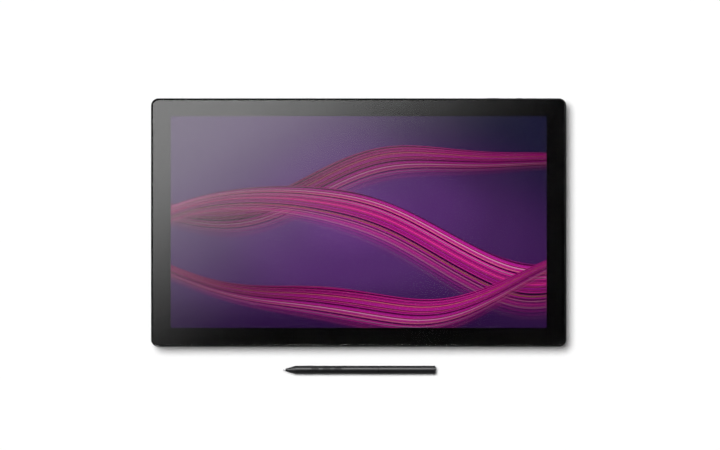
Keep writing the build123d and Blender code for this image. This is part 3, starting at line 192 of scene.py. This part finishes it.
def surface(
    name, colour, second, roughness, relief, grain, metallic=0.0, specular=0.5, stretch=(1, 1, 1)
):
    """A moulded, painted or metal surface: two close colours in soft patches, and a grain.

    The grain is in its relief, its colour and its gloss. relief is the grain's depth and grain its size, both
    in metres; stretch draws the grain out along an axis.
    """
    grain_detail = 3.0
    grain_roughness = 0.6
    grain_share = 0.6
    patch_scale = 45.0
    blend_start = 0.3
    blend_end = 0.7
    gloss_swing = 0.12

    material, s = new_material(name)
    fine = s.noise(s.scaled(s.place(), stretch), 1 / grain, grain_detail, grain_roughness)
    patches = s.math("MULTIPLY", s.noise(s.place(), patch_scale), 1 - grain_share)
    mixed = s.linear(fine, grain_share, patches)
    shader = s.principled(
        Base_Color=s.mix(s.smooth(mixed, blend_start, blend_end), (*colour, 1), (*second, 1)),
        Roughness=s.linear(mixed, gloss_swing, roughness - gloss_swing / 2),
        Metallic=metallic,
        Normal=s.bump(fine, relief),
    )
    shader.inputs["Specular IOR Level"].default_value = specular
    s.finish(shader.outputs[0])
    return material


# The lit picture. Lengths on it are in half widths of the screen, from its middle
glow_middle = (-0.02, 0.02)
glow_stretch = (0.85, 1.25)
cloud_scale = 9.0
cloud_reach = 0.25
ground_stops = [
    (0.0, (0.125, 0.038, 0.205)),
    (0.35, (0.085, 0.024, 0.145)),
    (0.7, (0.055, 0.014, 0.098)),
    (1.0, (0.042, 0.010, 0.080)),
]
dark_corner = (0.008, 0.007, 0.030, 1)
corner_lean = 0.6
corner_start = 0.35
corner_end = 1.05
dark_foot = (0.020, 0.004, 0.042, 1)
foot_start = -0.30
foot_end = -0.58
waves = [
    # middle, swings as (height, turns, start), width, its swing, strands, light
    (0.250, ((0.170, 1.9, 0.5), (0.040, 5.0, 1.4)), 0.150, (0.060, 2.3, 2.0), 15, 0.55),
    (0.020, ((0.210, 2.3, 2.5), (0.035, 4.4, 0.3)), 0.210, (0.100, 1.8, 0.4), 21, 1.0),
    (-0.270, ((0.130, 2.0, 4.6), (0.045, 4.8, 2.2)), 0.150, (0.060, 2.9, 1.2), 15, 0.8),
]
strand_stops = [
    (0.26, (0.012, 0.002, 0.020)),
    (0.34, (0.090, 0.004, 0.070)),
    (0.40, (0.700, 0.012, 0.280)),
    (0.45, (0.300, 0.010, 0.300)),
    (0.49, (0.880, 0.020, 0.330)),
    (0.53, (0.120, 0.006, 0.110)),
    (0.57, (0.620, 0.020, 0.420)),
    (0.61, (0.950, 0.040, 0.300)),
    (0.645, (0.060, 0.004, 0.050)),
    (0.665, (0.850, 0.450, 0.130)),
    (0.69, (0.400, 0.008, 0.050)),
    (0.74, (0.900, 0.450, 0.780)),
    (0.80, (0.200, 0.020, 0.300)),
]


# Across a wave, 0 is its upper edge and 1 its width below it
drift_scale = 1.3
drift_size = 0.10
gap_scale = 2.3
gap_start = 0.52
gap_full = 0.34
gap_light = 0.25
fold_turns = 2.7
fold_lean = 2.0
fold_swing = 0.3
edge_softness = 0.025
fade_out_start = 0.45
fade_out_end = 1.1


def picture_ground(s, x, y):
    """Violet glow in the middle of a dark ground, darkest at the upper right and along the foot."""
    across = s.math("MULTIPLY", s.math("SUBTRACT", x, glow_middle[0]), glow_stretch[0])
    up = s.math("MULTIPLY", s.math("SUBTRACT", y, glow_middle[1]), glow_stretch[1])
    reach = s.math("SQRT", s.math("ADD", s.math("MULTIPLY", across, across), s.math("MULTIPLY", up, up)))
    clouds = s.math("SUBTRACT", s.noise(s.place(), cloud_scale), 0.5)
    ground = s.ramp(s.linear(clouds, cloud_reach, reach), ground_stops, "EASE")
    corner = s.smooth(s.linear(x, corner_lean, y), corner_start, corner_end)
    ground = s.mix(corner, ground, dark_corner)
    return s.mix(s.smooth(y, foot_start, foot_end), ground, dark_foot)


def swing(s, x, height, turns, start):
    """A sine wave along x."""
    return s.math("MULTIPLY", s.math("SINE", s.linear(x, turns, start)), height)


def picture_wave(s, x, y, picture, middle, swings, width, width_swing, strands, light):
    """Lays one wave over the picture: fine strands, sharp along its upper edge and fading out below."""
    edge = middle
    for one_swing in swings:
        edge = s.math("ADD", swing(s, x, *one_swing), edge)
    spread = s.math("ADD", swing(s, x, *width_swing), width)
    depth = s.math("DIVIDE", s.math("SUBTRACT", edge, y), spread)

    # Each strand's colour, and the dark gaps between strands
    drift = s.math("MULTIPLY", s.noise_along(x, drift_scale), drift_size)
    line = s.linear(s.math("ADD", depth, drift), strands, strands)
    colours = s.ramp(s.noise_along(line, 1.0), strand_stops)
    between = s.smooth(s.noise_along(line, gap_scale), gap_full, gap_start)

    # Its light swells and sinks along the wave, as if it were folded
    fold = s.math("SINE", s.linear(x, fold_turns, s.math("MULTIPLY", depth, fold_lean)))
    glow = s.math("MULTIPLY", s.linear(fold, fold_swing, 1 - fold_swing), light)
    glow = s.math("MULTIPLY", glow, s.linear(between, 1 - gap_light, gap_light))
    lit = s.mix(1.0, colours, s.ramp(glow, [(0, grey(0)), (1, grey(1))]), "MULTIPLY")

    begins = s.smooth(depth, 0.0, edge_softness)
    ends = s.math("SUBTRACT", 1.0, s.smooth(depth, fade_out_start, fade_out_end))
    return s.mix(s.math("MULTIPLY", begins, ends), picture, lit)


def lit_screen():
    """The lit picture: layered waves of fine strands over a violet glow, as a plain emitting surface."""
    material, s = new_material("lit_screen")
    axes = s.split(s.place())
    x = s.math("DIVIDE", axes[0], screen_half_width)
    y = s.math("DIVIDE", s.math("SUBTRACT", axes[1], screen_middle_y), screen_half_width)
    picture = picture_ground(s, x, y)
    for wave in waves:
        picture = picture_wave(s, x, y, picture, *wave)
    shader = s.principled(
        Base_Color=(*grey(0.001), 1),
        Roughness=0.4,
        Emission_Color=picture,
        Emission_Strength=1.0,
    )
    shader.inputs["Specular IOR Level"].default_value = 0.0
    s.finish(shader.outputs[0])
    return material


def cover_glass():
    """Clear glass with a fine etch, which softens what it mirrors."""
    etch_scale = 14.0
    etch_roughness = 0.051
    etch_swing = 0.008

    material, s = new_material("cover_glass")
    shader = s.principled(
        Base_Color=(1, 1, 1, 1),
        Roughness=s.linear(s.noise(s.place(), etch_scale), etch_swing, etch_roughness),
        IOR=1.45,
        Transmission_Weight=1.0,
    )
    s.finish(shader.outputs[0])
    return material


def ribbed(name, colour, second, roughness, pitch, depth):
    """Soft rubber with fine ribs, which follow each other along the tablet's depth."""
    grain_scale = 4000.0
    grain_depth = 0.00001
    rib_foot = -0.4
    rib_top = 0.6

    material, s = new_material(name)
    along = s.split(s.place())[1]
    wave = s.math("SINE", s.math("MULTIPLY", along, 2 * math.pi / pitch))
    rib = s.smooth(wave, rib_foot, rib_top)
    fine = s.noise(s.place(), grain_scale)
    shader = s.principled(
        Base_Color=s.mix(fine, (*colour, 1), (*second, 1)),
        Roughness=roughness,
        Normal=s.bump(fine, grain_depth, s.bump(rib, depth)),
    )
    s.finish(shader.outputs[0])
    return material


def circuit_board():
    """Green solder mask with copper traces showing through and small pads."""
    trace_scale = 260.0
    trace_depth = 0.00003
    trace_edge = (0.10, 0.05)
    pad_scale = 420.0
    pad_edge = (0.16, 0.12)
    mask_roughness = 0.42
    pad_gloss = 0.12
    board_green = (0.012, 0.090, 0.045, 1)
    trace_green = (0.030, 0.170, 0.080, 1)
    pad_gold = (0.62, 0.52, 0.30, 1)

    material, s = new_material("circuit_board")
    edges = s.cells(s.place(), trace_scale, distance="MANHATTAN", feature="DISTANCE_TO_EDGE")
    trace = s.smooth(edges, *trace_edge)
    pad = s.smooth(s.cells(s.place(), pad_scale), *pad_edge)
    shader = s.principled(
        Base_Color=s.mix(pad, s.mix(trace, board_green, trace_green), pad_gold),
        Roughness=s.linear(pad, -pad_gloss, mask_roughness),
        Metallic=pad,
        Normal=s.bump(trace, trace_depth),
    )
    s.finish(shader.outputs[0])
    return material


metal = {"metallic": 1.0}
brushed = {"metallic": 1.0, "stretch": (1, 30, 1)}
surfaces = {
    # colour, second colour, roughness, relief, grain, what else differs
    "frame_black": (grey(0.003), grey(0.0045), 0.42, 0.000008, 0.0003, {"specular": 0.04}),
    "border_black": (grey(0.0012), grey(0.0018), 0.45, 0.000002, 0.0006, {"specular": 0.0}),
    "white_sheet": ((0.80, 0.80, 0.78), (0.86, 0.86, 0.85), 0.6, 0.000004, 0.0004, {}),
    "clear_plastic": ((0.78, 0.82, 0.84), (0.84, 0.87, 0.88), 0.12, 0.000001, 0.002, {}),
    "steel_plate": ((0.50, 0.51, 0.52), (0.60, 0.61, 0.62), 0.36, 0.000006, 0.0012, brushed),
    "cast_alloy": ((0.44, 0.45, 0.46), (0.54, 0.55, 0.56), 0.5, 0.00003, 0.0007, metal),
    "dark_screw": ((0.05, 0.05, 0.055), (0.10, 0.10, 0.11), 0.38, 0.000006, 0.0002, metal),
    "chip_black": ((0.014, 0.014, 0.015), (0.024, 0.024, 0.026), 0.6, 0.00001, 0.0002, {}),
    "copper": ((0.62, 0.28, 0.15), (0.76, 0.38, 0.22), 0.32, 0.000006, 0.0008, brushed),
    "inner_black": ((0.018, 0.018, 0.019), (0.028, 0.028, 0.03), 0.55, 0.00001, 0.0004, {}),
    "amber_film": ((0.36, 0.17, 0.03), (0.48, 0.26, 0.06), 0.3, 0.000004, 0.001, {}),
    "cover_black": (
        (0.022, 0.022, 0.023), (0.031, 0.031, 0.032), 0.58, 0.00003, 0.00035, {"specular": 0.4}
    ),
    "port_steel": ((0.46, 0.46, 0.47), (0.56, 0.56, 0.57), 0.3, 0.000003, 0.0008, brushed),
    "brass_insert": ((0.62, 0.45, 0.18), (0.74, 0.56, 0.26), 0.3, 0.00001, 0.0006, metal),
    "foot_rubber": ((0.020, 0.020, 0.021), (0.030, 0.030, 0.031), 0.7, 0.00003, 0.0005, {}),
    "key_black": (grey(0.005), (0.008, 0.008, 0.009), 0.38, 0.000004, 0.0003, {"specular": 0.075}),
    "pen_black": (grey(0.006), (0.009, 0.009, 0.010), 0.34, 0.000003, 0.0003, {"specular": 0.18}),
    "pen_ring": (grey(0.001), grey(0.002), 0.4, 0.000002, 0.0004, {"specular": 0.01}),
    "nib_grey": ((0.46, 0.46, 0.47), (0.56, 0.56, 0.57), 0.5, 0.000006, 0.0003, {}),
}
rib_pitch = 0.0012
rib_depth = 0.00018
materials = {
    "lit_screen": lit_screen(),
    "cover_glass": cover_glass(),
    "circuit_board": circuit_board(),
    "grip_rubber": ribbed(
        "grip_rubber", (0.016, 0.016, 0.017), (0.024, 0.024, 0.025), 0.62, rib_pitch, rib_depth
    ),
}
for name, (*values, others) in surfaces.items():
    materials[name] = surface(name, *values, **others)

for row in frame["record"]["subparts"]:
    mesh = nodes[row["node"]].data
    mesh.materials.clear()
    mesh.materials.append(materials[row["material_slot"]])


def stage_sheet(name, low, high, height, material):
    """A flat, level rectangle of the studio, between two corners."""
    corners = [
        (low[0], low[1], height),
        (high[0], low[1], height),
        (high[0], high[1], height),
        (low[0], high[1], height),
    ]
    mesh = bpy.data.meshes.new(name)
    mesh.from_pydata(corners, [], [range(len(corners))])
    mesh.materials.append(material)
    sheet = bpy.data.objects.new(name, mesh)
    bpy.context.scene.collection.objects.link(sheet)
    return sheet


# Floor: white where it is seen, with the object's shadow; clear when seen from below
floor_half = 6.0
floor_lift = 0.03


def floor_paint():
    material, s = new_material("floor")
    path = s.add("ShaderNodeLightPath")
    seen = s.math("MAXIMUM", path.outputs["Is Camera Ray"], path.outputs["Is Glossy Ray"])
    seen = s.math("MAXIMUM", seen, path.outputs["Is Transmission Ray"])
    paint = s.principled(Base_Color=(*grey(0.95), 1), Roughness=0.9, Emission_Color=(1, 1, 1, 1))
    paint.inputs["Specular IOR Level"].default_value = 0.0
    s.put(paint.inputs["Emission Strength"], s.math("MULTIPLY", seen, floor_lift))
    back = s.add("ShaderNodeNewGeometry").outputs["Backfacing"]
    one_sided = s.add("ShaderNodeMixShader")
    s.put(one_sided.inputs[0], s.math("MAXIMUM", back, path.outputs["Is Shadow Ray"]))
    s.links.new(paint.outputs[0], one_sided.inputs[1])
    s.links.new(s.add("ShaderNodeBsdfTransparent").outputs[0], one_sided.inputs[2])
    s.finish(one_sided.outputs[0])
    return material


stage_sheet("floor", (-floor_half, -floor_half), (floor_half, floor_half), 0, floor_paint())

# Softbox that the glass mirrors: bright at the upper left, fading out towards the middle.
# Past the tablet it is brighter still, where only round surfaces mirror it
card_low = (-1.5, -1.2)
card_high = (1.2, 1.5)
card_height = 1.2
card_strength = 3.2
card_rise = 16.0
rise_start = 0.2
rise_end = 0.6
slant_x = 0.59
slant_y = -0.81
fade_start = -0.30
fade_length = 0.35
fade_stops = [
    (0.0, grey(1.0)),
    (0.18, grey(0.98)),
    (0.29, grey(0.90)),
    (0.42, grey(0.70)),
    (0.54, grey(0.44)),
    (0.665, grey(0.215)),
    (0.77, grey(0.085)),
    (0.855, grey(0.022)),
    (0.93, grey(0.0)),
]


def softbox_cloth():
    material, s = new_material("softbox")
    axes = s.split(s.place())
    slant = s.math(
        "ADD",
        s.math("MULTIPLY", s.math("SUBTRACT", axes[0], frame_middle.x), slant_x),
        s.math("MULTIPLY", s.math("SUBTRACT", axes[1], frame_middle.y), slant_y),
    )
    fade = s.ramp(s.math("DIVIDE", s.math("SUBTRACT", slant, fade_start), fade_length), fade_stops)
    glow = s.add("ShaderNodeEmission")
    s.put(glow.inputs["Color"], fade)
    s.put(
        glow.inputs["Strength"],
        s.linear(s.smooth(axes[1], rise_start, rise_end), card_rise, card_strength),
    )
    s.finish(glow.outputs[0])
    return material


card = stage_sheet("softbox", card_low, card_high, card_height, softbox_cloth())
card.visible_camera = False
card.visible_diffuse = False
card.visible_shadow = False


def add_sun(name, energy, degrees, direction):
    """A wide sun, which nothing mirrors; direction points to it."""
    data = bpy.data.lights.new(name, "SUN")
    data.energy = energy
    data.angle = math.radians(degrees)
    sun = bpy.data.objects.new(name, data)
    sun.rotation_euler = Vector(direction).to_track_quat("Z", "Y").to_euler()
    sun.visible_glossy = False
    sun.visible_transmission = False
    bpy.context.scene.collection.objects.link(sun)


# Key light from the upper left, nearly overhead, and a weaker one from below for the underside
add_sun("key", 3.2, 29, (-0.228, 0.228, 1))
add_sun("under", 2.5, 60, (0.3, -0.3, -1))

# World: white where it is seen, dim as a light, and dark overhead where the glass mirrors it
world_light = (*grey(0.07), 1)
white = (1, 1, 1, 1)
mirrored_stops = [
    (0.0, grey(0.42)),
    (0.35, grey(0.42)),
    (0.7, grey(0.20)),
    (0.92, grey(0.014)),
    (1.0, grey(0.005)),
]
world = bpy.data.worlds.new("studio")
world.use_nodes = True
bpy.context.scene.world = world
world.cycles.sampling_method = "NONE"
sky = Shader(world.node_tree)
ray = sky.add("ShaderNodeLightPath").outputs
upward = sky.split(sky.add("ShaderNodeTexCoord").outputs["Generated"])[2]
mirror_ray = sky.math("MAXIMUM", ray["Is Glossy Ray"], ray["Is Transmission Ray"])
light = sky.mix(mirror_ray, world_light, sky.ramp(upward, mirrored_stops))
light = sky.mix(ray["Is Camera Ray"], light, white)
background = sky.add("ShaderNodeBackground")
sky.put(background.inputs["Color"], light)
world_output = sky.add("ShaderNodeOutputWorld")
sky.links.new(background.outputs[0], world_output.inputs["Surface"])
